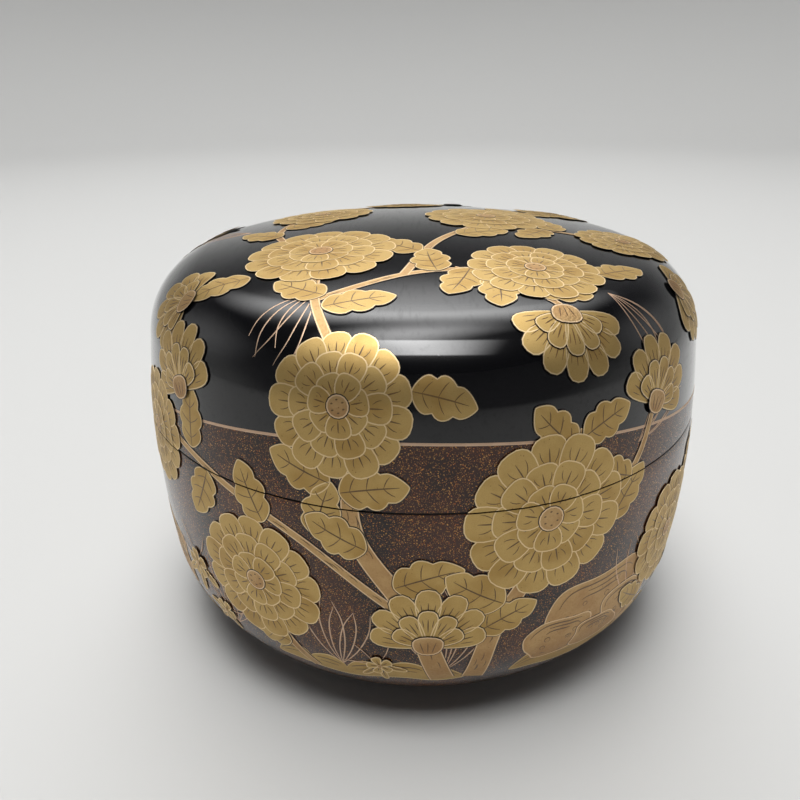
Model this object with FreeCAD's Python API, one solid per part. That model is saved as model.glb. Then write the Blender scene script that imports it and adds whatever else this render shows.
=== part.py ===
import FreeCAD, Part
import math
import os

# Round lacquered tea caddy, standing on its foot at the origin with +Z up. Lengths are millimetres.
# Body and lid are turned bowls of wood, and each carries its coats of priming and lacquer.
# Every solid is a section in the XZ plane, turned once round the Z axis.

# Outside of the closed caddy
height = 59.0
outer_radius = 41.0
widest_height = 28.0
crown_radius = 170.0
shoulder_radius = 10.3
side_radius = 126.0
foot_curve_radius = 17.0

# Underside: a flat ring to stand on, round a shallow dish
foot_ring_width = 3.0
foot_dish_depth = 0.5

# The lid, and the collar that it slides over
lid_depth = 23.0
seam_edge_radius = 0.2
collar_height = 6.0
collar_clearance = 0.2
collar_headroom = 0.6

# Walls, measured over all their coats: the lid's at its crown and at the top of its bore, and the collar's
lid_top_wall = 2.4
lid_side_wall = 1.15
collar_wall = 1.35

# Coats
outer_coat = 0.3
priming_coat = 0.4
inner_coat = 0.2

touching = 1e-7
full_turn = 360
axis_foot = FreeCAD.Vector(0, 0, 0)
up = FreeCAD.Vector(0, 0, 1)


# Section drawing

def at(radius, level):
    """Point of the section plane, from its distance to the axis and its height."""
    return FreeCAD.Vector(radius, 0, level)


def on_circle(centre, radius, angle):
    """Point of a circle in the section plane, its angle counted from straight up."""
    return at(centre.x + radius * math.sin(angle), centre.z + radius * math.cos(angle))


def bend(centre, radius, start, end):
    """Arc of a section, as its first, middle and last point."""
    return [on_circle(centre, radius, angle) for angle in (start, (start + end) / 2, end)]


def turned_back(path):
    """The same path, run from its last point to its first."""
    return [step[::-1] if isinstance(step, list) else step for step in reversed(path)]


def turn(path):
    """Solid turned from a closed section of points and arcs, joined by straight lines."""
    edges = []
    here = path[-1][-1] if isinstance(path[-1], list) else path[-1]
    for step in path:
        points = step if isinstance(step, list) else [step]
        if not here.isEqual(points[0], touching):
            edges.append(Part.LineSegment(here, points[0]).toShape())
        if len(points) > 1:
            edges.append(Part.Arc(*points).toShape())
        here = points[-1]
    return Part.Face(Part.Wire(edges)).revolve(axis_foot, up, full_turn)


# Outline of the caddy: four arcs that run smoothly into each other, from the top down

def meeting_centre(centre_a, radius_a, centre_b, radius_b):
    """Point at two given distances from two centres, on the right of the way from a to b."""
    way = centre_b - centre_a
    span = way.Length
    along = (span ** 2 + radius_a ** 2 - radius_b ** 2) / (2 * span)
    aside = math.sqrt(radius_a ** 2 - along ** 2)
    way.normalize()
    return centre_a + way * along + at(way.z, -way.x) * aside


def bearing(centre, point):
    """Angle from straight up of the way from a centre to a point."""
    return math.atan2(point.x - centre.x, point.z - centre.z)


crown_centre = at(0, height - crown_radius)
side_centre = at(outer_radius - side_radius, widest_height)
shoulder_centre = meeting_centre(
    crown_centre, crown_radius - shoulder_radius, side_centre, side_radius - shoulder_radius)
foot_drop = widest_height - foot_curve_radius
foot_reach = math.sqrt((side_radius - foot_curve_radius) ** 2 - foot_drop ** 2)
foot_radius = side_centre.x + foot_reach
foot_centre = at(foot_radius, foot_curve_radius)
ring_inner_radius = foot_radius - foot_ring_width

crown_end = bearing(crown_centre, shoulder_centre)
shoulder_end = bearing(side_centre, shoulder_centre)
side_end = bearing(side_centre, foot_centre)
outline = [
    (crown_centre, crown_radius, 0, crown_end),
    (shoulder_centre, shoulder_radius, crown_end, shoulder_end),
    (side_centre, side_radius, shoulder_end, side_end),
    (foot_centre, foot_curve_radius, side_end, math.pi),
]


def angle_at(centre, radius, level):
    """Angle from straight up at which a circle passes a height, or its nearest end."""
    return math.acos(max(-1, min(1, (level - centre.z) / radius)))


def skin(inset, top=height, bottom=0):
    """Arcs of the outline moved inwards by inset, from one height down to another."""
    arcs = []
    for centre, radius, start, end in outline:
        kept = radius - inset
        first = start if top == height else max(start, angle_at(centre, kept, top))
        last = end if bottom == 0 else min(end, angle_at(centre, kept, bottom))
        if first < last:
            arcs.append(bend(centre, kept, first, last))
    return arcs


def side_radius_at(level, inset):
    """Distance from the axis to the side, moved inwards by inset, at a height."""
    return skin(inset, top=level)[0][0].x


def underside(inset):
    """Standing ring and dish of the foot, moved up by inset, from the ring's outer edge inwards."""
    dish_radius = (ring_inner_radius ** 2 + foot_dish_depth ** 2) / (2 * foot_dish_depth)
    dish_centre = at(0, inset + foot_dish_depth - dish_radius)
    dish_end = math.asin(ring_inner_radius / dish_radius)
    return [at(foot_radius, inset), bend(dish_centre, dish_radius, dish_end, 0)]


# The collar stands up from the body's ledge, and the lid's bore slides over it

seam_height = height - lid_depth
seam_radius = side_radius_at(seam_height, 0)
collar_top = seam_height + collar_height
bore_top = collar_top + collar_headroom
bore_radius = side_radius_at(bore_top, 0) - lid_side_wall
collar_outer_radius = bore_radius - collar_clearance
collar_inner_radius = collar_outer_radius - collar_wall
wood_outside = outer_coat + priming_coat

# The bowl's wall follows the outline and runs on into the collar's inner side
body_wall = side_radius - (at(collar_inner_radius, seam_height) - side_centre).Length


def collar_walls(outer, inner):
    """Collar section over its rounded top, from its outer wall's foot to its inner wall's foot."""
    round_radius = (outer - inner) / 2
    round_centre = at(outer - round_radius, collar_top - (collar_outer_radius - outer) - round_radius)
    over_top = bend(round_centre, round_radius, math.pi / 2, -math.pi / 2)
    return [over_top, at(inner, seam_height)]


def lid_hollow(offset):
    """Inside of the lid moved into its wall by offset, from the ceiling's middle to the bore's foot."""
    ceiling = crown_radius - lid_top_wall
    rise = bore_top - crown_centre.z
    corner = (ceiling ** 2 - bore_radius ** 2 - rise ** 2) / (2 * (ceiling - bore_radius))
    corner_centre = at(bore_radius - corner, bore_top)
    ceiling_end = bearing(crown_centre, corner_centre)
    return [
        bend(crown_centre, ceiling + offset, 0, ceiling_end),
        bend(corner_centre, corner + offset, ceiling_end, math.pi / 2),
    ]


def seam_edge(side):
    """Rounded outer edge at the seam, of the body with side -1 or the lid with side 1."""
    level = seam_height + side * seam_edge_radius
    centre = at(seam_radius - seam_edge_radius, level)
    middle = on_circle(centre, seam_edge_radius, math.pi / 2 + side * math.pi / 4)
    return [at(seam_radius - seam_edge_radius, seam_height), middle, at(side_radius_at(level, 0), level)]


# Body

def body_wood_core():
    """Turned bowl with its collar, in one piece of wood."""
    outside = skin(wood_outside, top=seam_height - inner_coat)
    floor = at(0, body_wall - inner_coat)
    inside = turned_back(skin(body_wall - inner_coat, top=seam_height))
    inner = side_radius_at(seam_height, body_wall - inner_coat)
    collar = turned_back(collar_walls(collar_outer_radius - inner_coat, inner))
    ledge = at(collar_outer_radius - inner_coat, seam_height - inner_coat)
    return turn(outside + underside(wood_outside) + [floor] + inside + collar + [ledge])


def body_priming():
    """Hard ground coat between the bowl's wood and its lacquer."""
    top = seam_height - inner_coat
    outside = skin(outer_coat, top=top) + underside(outer_coat)
    inside = turned_back(skin(wood_outside, top=top) + underside(wood_outside))
    return turn(outside + inside)


def body_outer_lacquer():
    """Sprinkled lacquer from the ledge's edge down to the standing ring."""
    outside = [seam_edge(-1)] + skin(0, top=seam_height - seam_edge_radius)
    return turn(outside + turned_back(skin(outer_coat, top=seam_height)))


def base_lacquer():
    """Lacquer of the standing ring and the dish inside it."""
    return turn(underside(0) + turned_back(underside(outer_coat)))


def body_inner_lacquer():
    """Lacquer of the bowl's inside, up to the collar."""
    inside = skin(body_wall, top=seam_height) + [at(0, body_wall)]
    backing = skin(body_wall - inner_coat, top=seam_height) + [at(0, body_wall - inner_coat)]
    return turn(inside + turned_back(backing))


def collar_lacquer():
    """Lacquer over the ledge and both sides of the collar."""
    wood_inner = side_radius_at(seam_height, body_wall - inner_coat)
    wood_outer = collar_outer_radius - inner_coat
    ledge = [at(side_radius_at(seam_height, outer_coat), seam_height), at(collar_outer_radius, seam_height)]
    outside = ledge + collar_walls(collar_outer_radius, collar_inner_radius)
    under_level = seam_height - inner_coat
    under = [at(wood_outer, under_level), at(side_radius_at(under_level, outer_coat), under_level)]
    return turn(outside + turned_back(collar_walls(wood_outer, wood_inner)) + under)


# Lid

def lid_wood_core():
    """Turned lid, in one piece of wood."""
    level = seam_height + inner_coat
    lip = at(bore_radius + inner_coat, level)
    return turn(skin(wood_outside, bottom=level) + [lip] + turned_back(lid_hollow(inner_coat)))


def lid_priming():
    """Hard ground coat between the lid's wood and its lacquer."""
    level = seam_height + inner_coat
    return turn(skin(outer_coat, bottom=level) + turned_back(skin(wood_outside, bottom=level)))


def lid_outer_lacquer():
    """Black and sprinkled lacquer from the crown down to the lip's edge."""
    outside = skin(0, bottom=seam_height + seam_edge_radius) + turned_back([seam_edge(1)])
    return turn(outside + turned_back(skin(outer_coat, bottom=seam_height)))


def lid_inner_lacquer():
    """Lacquer of the ceiling, the bore and the lip."""
    level = seam_height + inner_coat
    lip = [at(bore_radius, seam_height), at(side_radius_at(seam_height, outer_coat), seam_height)]
    backing = [at(side_radius_at(level, outer_coat), level), at(bore_radius + inner_coat, level)]
    return turn(lid_hollow(0) + lip + backing + turned_back(lid_hollow(inner_coat)))


def main():
    """Write one STEP file for each piece of wood and each coat on it."""
    os.makedirs("parts", exist_ok=True)
    pieces = [
        body_wood_core, body_priming, body_outer_lacquer, base_lacquer, body_inner_lacquer, collar_lacquer,
        lid_wood_core, lid_priming, lid_outer_lacquer, lid_inner_lacquer,
    ]
    for piece in pieces:
        solid = piece()
        solid.exportStep("parts/" + piece.__name__ + ".step")
        print(piece.__name__, solid.ShapeType, solid.isValid(), round(solid.Volume, 1))


main()
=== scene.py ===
import logging
import math
import random
from collections.abc import Callable, Sequence
from dataclasses import dataclass
from enum import Enum
from functools import cached_property
from typing import ClassVar

import bmesh
import bpy
from mathutils import Matrix, Vector


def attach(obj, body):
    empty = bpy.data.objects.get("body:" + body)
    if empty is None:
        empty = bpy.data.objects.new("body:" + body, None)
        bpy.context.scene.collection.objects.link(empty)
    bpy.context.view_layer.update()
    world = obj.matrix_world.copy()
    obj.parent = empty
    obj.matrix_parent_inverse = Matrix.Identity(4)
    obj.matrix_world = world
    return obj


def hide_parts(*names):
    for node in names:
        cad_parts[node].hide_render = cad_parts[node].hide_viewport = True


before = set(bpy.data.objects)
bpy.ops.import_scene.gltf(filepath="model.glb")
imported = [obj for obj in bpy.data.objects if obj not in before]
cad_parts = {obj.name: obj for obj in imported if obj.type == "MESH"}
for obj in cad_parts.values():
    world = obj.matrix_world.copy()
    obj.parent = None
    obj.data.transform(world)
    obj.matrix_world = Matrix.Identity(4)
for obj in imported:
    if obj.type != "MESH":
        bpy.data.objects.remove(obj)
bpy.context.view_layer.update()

# Looks of a round lacquered tea caddy. Lengths are millimetres until a mesh is finished.

log = logging.getLogger("tea_caddy")

METRES_PER_MM = 0.001
QUARTER_TURN = math.pi / 2
FULL_TURN = 2 * math.pi
MERGE_DISTANCE = 0.0001
Colour = tuple[float, float, float, float]
Point = tuple[float, float]
Form = Callable[[float], Point]
Width = Callable[[float], float]
Rows = tuple[tuple[float, ...], ...]


def rgb(red: float, green: float, blue: float) -> Colour:
    """Opaque colour from its linear parts."""
    return (red, green, blue, 1.0)


# Shader writing

class Graph:
    """Node tree of one material, world or lamp, written as expressions on its wires."""

    def __init__(self, owner: bpy.types.Material | bpy.types.World | bpy.types.Light) -> None:
        """Start an empty tree.

        Args:
            owner: what the tree belongs to.
        """
        owner.use_nodes = True
        self.tree = owner.node_tree
        self.tree.nodes.clear()

    def add(self, kind: str, settings: dict | None = None, inputs: dict | None = None,
            output: int | str = 0) -> "Wire":
        """Add a node.

        Args:
            kind: the node's type, without the ShaderNode in front.
            settings: properties set before the sockets.
            inputs: socket name or number to a value or a wire.
            output: name or number of the socket to return.

        Returns:
            The chosen output.
        """
        node = self.tree.nodes.new("ShaderNode" + kind)
        for name, value in (settings or {}).items():
            setattr(node, name, value)
        for name, value in (inputs or {}).items():
            if isinstance(value, Wire):
                self.tree.links.new(value.socket, node.inputs[name])
            else:
                node.inputs[name].default_value = value
        return Wire(self, node.outputs[output] if node.outputs else None)

    def place(self) -> "Wire":
        """Object coordinates, in metres."""
        return self.add("TexCoord", output="Object")

    def millimetres(self) -> list["Wire"]:
        """Object coordinates X, Y and Z, in millimetres."""
        return [part * (1 / METRES_PER_MM) for part in self.parts(self.place())]

    def parts(self, vector: "Wire") -> list["Wire"]:
        """The three numbers of a vector or colour."""
        first = self.add("SeparateXYZ", None, {0: vector})
        return [Wire(self, socket) for socket in first.socket.node.outputs]

    def facing(self) -> "Wire":
        """Direction that the surface faces."""
        return self.add("NewGeometry", output="Normal")

    def stored(self, name: str) -> "Wire":
        """Number stored on the mesh's points under a name."""
        return self.add("Attribute", {"attribute_name": name}, output="Fac")

    def noise(self, size: float, detail: float = 2.0, where: "Wire | None" = None) -> "Wire":
        """Noise whose lumps measure about size millimetres."""
        scale = 1 / (size * METRES_PER_MM)
        inputs = {"Vector": where or self.place(), "Scale": scale, "Detail": detail}
        return self.add("TexNoise", None, inputs)

    def cells(self, size: float, output: str = "Distance") -> "Wire":
        """Cells about size millimetres across: their Distance or their Color."""
        scale = 1 / (size * METRES_PER_MM)
        return self.add("TexVoronoi", None, {"Vector": self.place(), "Scale": scale}, output)

    def chance(self, size: float, salt: float = 1.0) -> "Wire":
        """Number from 0 to 1 of each cell, which doesn't tell where in the cell its point lies."""
        red, green, blue = self.parts(self.cells(size, "Color"))
        return (red * (17.3 * salt) + green * (29.1 * salt) + blue * (41.7 * salt)).math("FRACT")

    def dots(self, size: float, edge: Point, chosen: Point, favour: "Wire | float" = 0.0) -> "Wire":
        """Round dots in some of the cells.

        Args:
            size: size of a cell in millimetres.
            edge: distances from a cell's middle, as shares, at which its dot starts and is full.
            chosen: chances at which a cell's dot starts to show and is full.
            favour: what is added to the chance.

        Returns:
            1 in the dots, 0 between them.
        """
        shown = self.rise(self.chance(size) + favour, *chosen)
        return self.rise(self.cells(size), *edge) * shown

    def vector(self, operation: str, *values: "Wire | Sequence[float]") -> "Wire":
        """Vector Math node on vectors."""
        return self.add("VectorMath", {"operation": operation}, dict(enumerate(values)))

    def mix(self, low: "Wire | Colour", high: "Wire | Colour", share: "Wire") -> "Wire":
        """Colour between two colours."""
        return self.add("Mix", {"data_type": "RGBA"}, {0: share, 6: low, 7: high}, 2)

    def rise(self, value: "Wire", low: float, high: float) -> "Wire":
        """Smooth step from 0 at low to 1 at high."""
        inputs = {"Value": value, "From Min": low, "From Max": high}
        return self.add("MapRange", {"interpolation_type": "SMOOTHSTEP"}, inputs)

    def bump(self, height: "Wire", depth: float) -> "Wire":
        """Normal of a surface raised by height times depth millimetres."""
        return self.add("Bump", None, {"Height": height, "Distance": depth * METRES_PER_MM, "Strength": 1.0})

    def surface(self, **inputs: "Wire | float | Colour") -> None:
        """End the tree in a principled surface, whose sockets are named with underscores for spaces."""
        shader = self.add("BsdfPrincipled", None, {name.replace("_", " "): inputs[name] for name in inputs})
        self.add("OutputMaterial", None, {"Surface": shader})


@dataclass(frozen=True)
class Wire:
    """An output socket that can be used in sums."""

    graph: Graph
    socket: bpy.types.NodeSocket | None

    def math(self, operation: str, *values: "Wire | float") -> "Wire":
        """Math node on this wire and up to two more values."""
        return self.graph.add("Math", {"operation": operation}, dict(enumerate((self, *values))))

    def __add__(self, other: "Wire | float") -> "Wire":
        """Sum."""
        return self.math("ADD", other)

    def __mul__(self, other: "Wire | float") -> "Wire":
        """Product."""
        return self.math("MULTIPLY", other)

    def __sub__(self, other: "Wire | float") -> "Wire":
        """Difference."""
        return self.math("SUBTRACT", other)

    def __rsub__(self, other: float) -> "Wire":
        """Difference from a number."""
        return self.graph.add("Math", {"operation": "SUBTRACT"}, {0: other, 1: self})

    __radd__ = __add__
    __rmul__ = __mul__


# Finishes

@dataclass(frozen=True, kw_only=True)
class Finish:
    """Finish of one kind of surface."""

    name: str

    def build(self) -> bpy.types.Material:
        """Make the material.

        Returns:
            The material, with its nodes.
        """
        material = bpy.data.materials.new(self.name)
        self.write(Graph(material))
        return material

    def write(self, graph: Graph) -> None:
        """Write the finish's nodes."""
        raise NotImplementedError


@dataclass(frozen=True)
class Ground:
    """Wires of the sprinkled ground, the last of them 1 beside the seam and 0 in the painted shade of its
    groove.
    """

    colour: Wire
    metal: Wire
    normal: Wire
    unshaded: Wire


@dataclass(frozen=True, kw_only=True)
class Sprinkled(Finish):
    """Brown lacquer with gold powder sprinkled in it, under a clear polished coat."""

    name: str = "sprinkled_brown_lacquer"
    ground_dark: Colour = rgb(0.009, 0.0036, 0.0024)
    ground_red: Colour = rgb(0.050, 0.014, 0.0055)
    cloud_size: float = 8.0
    cloud_edge: Point = (0.32, 0.68)
    cloud_favour: float = 0.6
    chosen: Point = (0.86, 0.92)
    fleck_size: float = 0.21
    fleck_edge: Point = (0.36, 0.22)
    fleck_red: Colour = rgb(0.40, 0.10, 0.016)
    fleck_yellow: Colour = rgb(0.66, 0.35, 0.085)
    fleck_tint_salt: float = 1.9
    fleck_tilt: float = 0.5
    fleck_metal: float = 0.9
    dust_size: float = 0.13
    dust_edge: Point = (0.42, 0.28)
    dust_share: float = 0.55
    roughness: float = 0.38
    coat: float = 0.8
    seam_level: float
    # Painted shade in the seam's groove: near the seam's height the colour turns near black and the coat
    # fades out.
    seam_edge: Point = (0.15, 0.09)
    seam_shade_share: float = 1.0
    seam_shade_colour: Colour = rgb(0.002, 0.0015, 0.001)

    def ground(self, graph: Graph) -> Ground:
        """Write the sprinkled ground, broken by a fine line of painted shade in the seam's groove.

        Args:
            graph: the tree to write in.

        Returns:
            Its wires.
        """
        cloud = graph.noise(self.cloud_size, 3.0)
        favour = cloud * self.cloud_favour
        flecks = graph.dots(self.fleck_size, self.fleck_edge, self.chosen, favour)
        dust = graph.dots(self.dust_size, self.dust_edge, self.chosen, favour) * self.dust_share
        flecks = flecks.math("MAXIMUM", dust)
        brown = graph.mix(self.ground_dark, self.ground_red, graph.rise(cloud, *self.cloud_edge))
        tint = graph.chance(self.fleck_size, self.fleck_tint_salt)
        gold = graph.mix(self.fleck_red, self.fleck_yellow, tint)
        # Painted shade of the seam's groove: near black, with no metal and no coat, close to the seam's
        # height.
        away = (graph.millimetres()[2] - self.seam_level).math("ABSOLUTE")
        unshaded = 1.0 - graph.rise(away, *self.seam_edge) * self.seam_shade_share
        colour = graph.mix(self.seam_shade_colour, graph.mix(brown, gold, flecks), unshaded)
        centred = graph.vector("SUBTRACT", graph.cells(self.fleck_size, "Color"), (0.5, 0.5, 0.5))
        tilt = graph.add("VectorMath", {"operation": "SCALE"},
                         {0: centred, "Scale": flecks * self.fleck_tilt})
        normal = graph.vector("NORMALIZE", graph.vector("ADD", graph.facing(), tilt))
        return Ground(colour, flecks * unshaded * self.fleck_metal, normal, unshaded)

    def write(self, graph: Graph) -> None:
        """Write the ground under its coat."""
        ground = self.ground(graph)
        # The coat fades out in the painted shade of the seam's groove.
        graph.surface(Base_Color=ground.colour, Metallic=ground.metal, Roughness=self.roughness,
                      Normal=ground.normal, Specular_IOR_Level=0.15, Coat_Weight=ground.unshaded * self.coat,
                      Coat_Roughness=0.025, Coat_IOR=1.42)


@dataclass(frozen=True, kw_only=True)
class LidLacquer(Finish):
    """Mirror-polished black over the lid, giving way to sprinkled brown below the gold line."""

    name: str = "black_and_sprinkled_lacquer"
    line: "GoldLine"
    line_edge: float = 0.02
    sprinkled: Sprinkled
    black: Colour = rgb(0.0030, 0.0030, 0.0036)
    black_roughness: float = 0.22
    dust: Colour = rgb(0.16, 0.16, 0.16)
    dust_spacing: float = 2.6
    dust_edge: Point = (0.045, 0.02)
    dust_chosen: Point = (0.80, 0.82)
    rub_size: float = 0.5
    rub_turn: tuple[float, float, float] = (0.0, 0.5, 0.3)
    rub_stretch: tuple[float, float, float] = (1.0, 0.12, 1.0)
    rub_edge: Point = (0.50, 0.72)
    rub_patch_size: float = 7.0
    rub_depth: float = 0.3

    def write(self, graph: Graph) -> None:
        """Write both lacquers on their sides of the line, with specks of dust and fine rubs.

        Args:
            graph: the tree to write in.
        """
        x, y, z = graph.millimetres()
        turn = x.math("ARCTAN2", y * -1.0)
        wave = ((turn + self.line.turned) * self.line.waves).math("COSINE")
        below = graph.rise(wave * self.line.swing + self.line.level - z, -self.line_edge, self.line_edge)
        ground = self.sprinkled.ground(graph)
        specks = graph.dots(self.dust_spacing, self.dust_edge, self.dust_chosen)
        black = graph.mix(self.black, self.dust, specks)
        stretched = graph.add("Mapping", {"vector_type": "POINT"}, {
            "Vector": graph.place(), "Rotation": self.rub_turn, "Scale": self.rub_stretch})
        rubs = graph.rise(graph.noise(self.rub_size, 4.0, stretched), *self.rub_edge)
        rubs = rubs * graph.noise(self.rub_patch_size) * self.rub_depth
        # The coat also fades out in the painted shade of the seam's groove.
        coat = (1.0 - rubs - below * (1.0 - self.sprinkled.coat)) * ground.unshaded
        rough = self.black_roughness + below * (self.sprinkled.roughness - self.black_roughness)
        normals = {0: below, 4: graph.facing(), 5: ground.normal}
        normal = graph.add("Mix", {"data_type": "VECTOR"}, normals, 1)
        graph.surface(Base_Color=graph.mix(black, ground.colour, below), Metallic=ground.metal * below,
                      Roughness=rough, Normal=normal, Specular_IOR_Level=0.1, Coat_Weight=coat,
                      Coat_Roughness=0.03, Coat_IOR=1.45)


@dataclass(frozen=True, kw_only=True)
class GoldPowder(Finish):
    """Matt gold powder laid in low relief, with a paler line along its raised edges."""

    body: Colour
    shaded: Colour
    shaded_edge: Point = (0.15, 0.60)
    pale: Colour
    pale_edge: Point = (0.10, 0.38)
    pale_share: float = 0.9
    patch_size: float = 3.5
    patch_weight: float = 1.1
    tone_weight: float = 0.45
    freckle: Colour = rgb(0.22, 0.12, 0.045)
    freckle_size: float = 0.55
    freckle_edge: Point = (0.16, 0.10)
    freckle_chosen: Point = (0.72, 0.76)
    freckle_share: float = 0.7
    grain_size: float = 0.12
    grain_edge: Point = (0.50, 0.78)
    grain_share: float = 0.45
    grain_relief: float = 0.010
    roughness: float = 0.50
    grain_roughness: float = 0.3
    patch_roughness: float = 0.1

    def write(self, graph: Graph) -> None:
        """Write the powder's shades, freckles, pale edges and grain.

        Args:
            graph: the tree to write in.
        """
        grain = graph.noise(self.grain_size, 3.0)
        patch = graph.noise(self.patch_size, 3.0)
        shade = patch * self.patch_weight - graph.stored(TONE_LAYER) * self.tone_weight
        colour = graph.mix(self.body, self.shaded, graph.rise(shade, *self.shaded_edge))
        colour = graph.mix(colour, self.shaded, graph.rise(grain, *self.grain_edge) * self.grain_share)
        freckles = graph.dots(self.freckle_size, self.freckle_edge, self.freckle_chosen)
        colour = graph.mix(colour, self.freckle, freckles * self.freckle_share)
        raised = graph.rise(graph.stored(RIM_LAYER), *self.pale_edge) * self.pale_share
        rough = (grain - 0.5) * self.grain_roughness + (patch - 0.5) * self.patch_roughness
        graph.surface(Base_Color=graph.mix(colour, self.pale, raised), Metallic=1.0,
                      Roughness=rough + self.roughness, Normal=graph.bump(grain, self.grain_relief),
                      Specular_IOR_Level=0.5)


@dataclass(frozen=True, kw_only=True)
class BareLacquer(Finish):
    """Plain lacquer that shows between and in the gold shapes."""

    dark: Colour
    light: Colour
    mottle_size: float = 0.6
    rub_size: float = 0.25
    roughness: float = 0.25
    rub_roughness: float = 0.12

    def write(self, graph: Graph) -> None:
        """Write the mottled lacquer."""
        rough = self.roughness + graph.noise(self.rub_size) * self.rub_roughness
        graph.surface(Base_Color=graph.mix(self.dark, self.light, graph.noise(self.mottle_size, 3.0)),
                      Roughness=rough, Specular_IOR_Level=0.4)


@dataclass(frozen=True, kw_only=True)
class TurnedWood(Finish):
    """Bare close-grained wood, with its rings across X."""

    name: str = "turned_zelkova"
    pale: Colour = rgb(0.50, 0.33, 0.18)
    dark: Colour = rgb(0.27, 0.15, 0.075)
    ring_size: float = 2.2
    ring_share: float = 0.6
    drift_size: float = 14.0
    drift: float = 6.0
    pore_size: float = 0.35
    pore_share: float = 0.3
    pore_relief: float = 0.05
    roughness: float = 0.55
    pore_roughness: float = 0.2

    def write(self, graph: Graph) -> None:
        """Write the drifting rings and the pores.

        Args:
            graph: the tree to write in.
        """
        across = graph.millimetres()[0] + graph.noise(self.drift_size, 3.0) * self.drift
        rings = (across * (FULL_TURN / self.ring_size)).math("SINE") * 0.5 + 0.5
        pores = graph.noise(self.pore_size, 4.0)
        colour = graph.mix(self.pale, self.dark, rings * self.ring_share + pores * self.pore_share)
        graph.surface(Base_Color=colour, Roughness=self.roughness + pores * self.pore_roughness,
                      Normal=graph.bump(pores, self.pore_relief))


@dataclass(frozen=True, kw_only=True)
class Priming(Finish):
    """Matt ground coat of clay and lacquer."""

    name: str = "ground_coat"
    dark: Colour = rgb(0.020, 0.016, 0.013)
    light: Colour = rgb(0.050, 0.040, 0.032)
    grit_size: float = 0.3
    grit_relief: float = 0.03
    roughness: float = 0.75
    grit_roughness: float = 0.15

    def write(self, graph: Graph) -> None:
        """Write the gritty coat."""
        grit = graph.noise(self.grit_size, 4.0)
        graph.surface(Base_Color=graph.mix(self.dark, self.light, grit),
                      Roughness=self.roughness + grit * self.grit_roughness,
                      Normal=graph.bump(grit, self.grit_relief))


@dataclass(frozen=True, kw_only=True)
class StagePaper(Finish):
    """Pale matt paper of the floor and the backdrop, with shade painted on it: darker towards the front and
    up the backdrop.
    """

    name: str = "pale_paper"
    middle: Colour = rgb(0.55, 0.55, 0.54)
    # Painted shade: upper darkens the backdrop upwards, and front darkens the floor towards the front.
    upper: Colour = rgb(0.07, 0.07, 0.075)
    upper_shade_reach: Point = (0.0, 600.0)
    front: Colour = rgb(0.17, 0.17, 0.175)
    front_shade_reach: Point = (160.0, 600.0)
    grain_size: float = 1.5
    grain: float = 10.0

    def write(self, graph: Graph) -> None:
        """Write the paper, with painted shade towards the front and up the backdrop.

        Args:
            graph: the tree to write in.
        """
        _, y, z = graph.millimetres()
        height = z + graph.noise(self.grain_size) * self.grain
        # Painted shade up the backdrop, then painted shade on the floor in front.
        colour = graph.mix(self.middle, self.upper, graph.rise(height, *self.upper_shade_reach))
        colour = graph.mix(colour, self.front, graph.rise(y * -1.0, *self.front_shade_reach))
        graph.surface(Base_Color=colour, Roughness=0.7, Specular_IOR_Level=0.2)


# Outline of the caddy

@dataclass(frozen=True)
class Arc:
    """Arc in the half plane of radius and height, its angles counted from straight up."""

    centre: Vector
    radius: float
    start: float
    end: float
    widest_step: ClassVar[float] = 1.6
    widest_turn: ClassVar[float] = math.radians(3.0)

    @property
    def length(self) -> float:
        """Length of the arc."""
        return self.radius * (self.end - self.start)

    def spot(self, angle: float, lift: float = 0.0) -> Vector:
        """Point of the arc at an angle, lifted off it."""
        return self.centre + Vector((math.sin(angle), math.cos(angle))) * (self.radius + lift)

    def angle_at(self, level: float, inset: float = 0.0) -> float:
        """Angle at which the arc, moved inwards, passes a height, or its nearest end."""
        share = (level - self.centre.y) / (self.radius - inset)
        return math.acos(max(-1.0, min(1.0, share)))

    def points(self, inset: float = 0.0, steps: int | None = None) -> list[Vector]:
        """Evenly spaced points of the arc, moved inwards.

        Args:
            inset: how far they are moved.
            steps: number of steps, or None for as many as look round.

        Returns:
            The points, from the arc's start to its end.
        """
        span = self.end - self.start
        steps = steps or max(2, math.ceil(span / self.widest_turn),
                             math.ceil(span * self.radius / self.widest_step))
        return [self.spot(self.start + span * step / steps, -inset) for step in range(steps + 1)]


def meeting_centre(first: Vector, first_radius: float, second: Vector, second_radius: float) -> Vector:
    """Find the point at two given distances from two centres, on the right of the way between them.

    Args:
        first: the first centre.
        first_radius: distance from it.
        second: the second centre.
        second_radius: distance from it.

    Returns:
        The point.
    """
    way = second - first
    span = way.length
    along = (span ** 2 + first_radius ** 2 - second_radius ** 2) / (2 * span)
    aside = math.sqrt(first_radius ** 2 - along ** 2)
    way.normalize()
    return first + way * along + Vector((way.y, -way.x)) * aside


def bearing(centre: Vector, point: Vector) -> float:
    """Angle from straight up of the way from a centre to a point."""
    return math.atan2(point.x - centre.x, point.y - centre.y)


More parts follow.
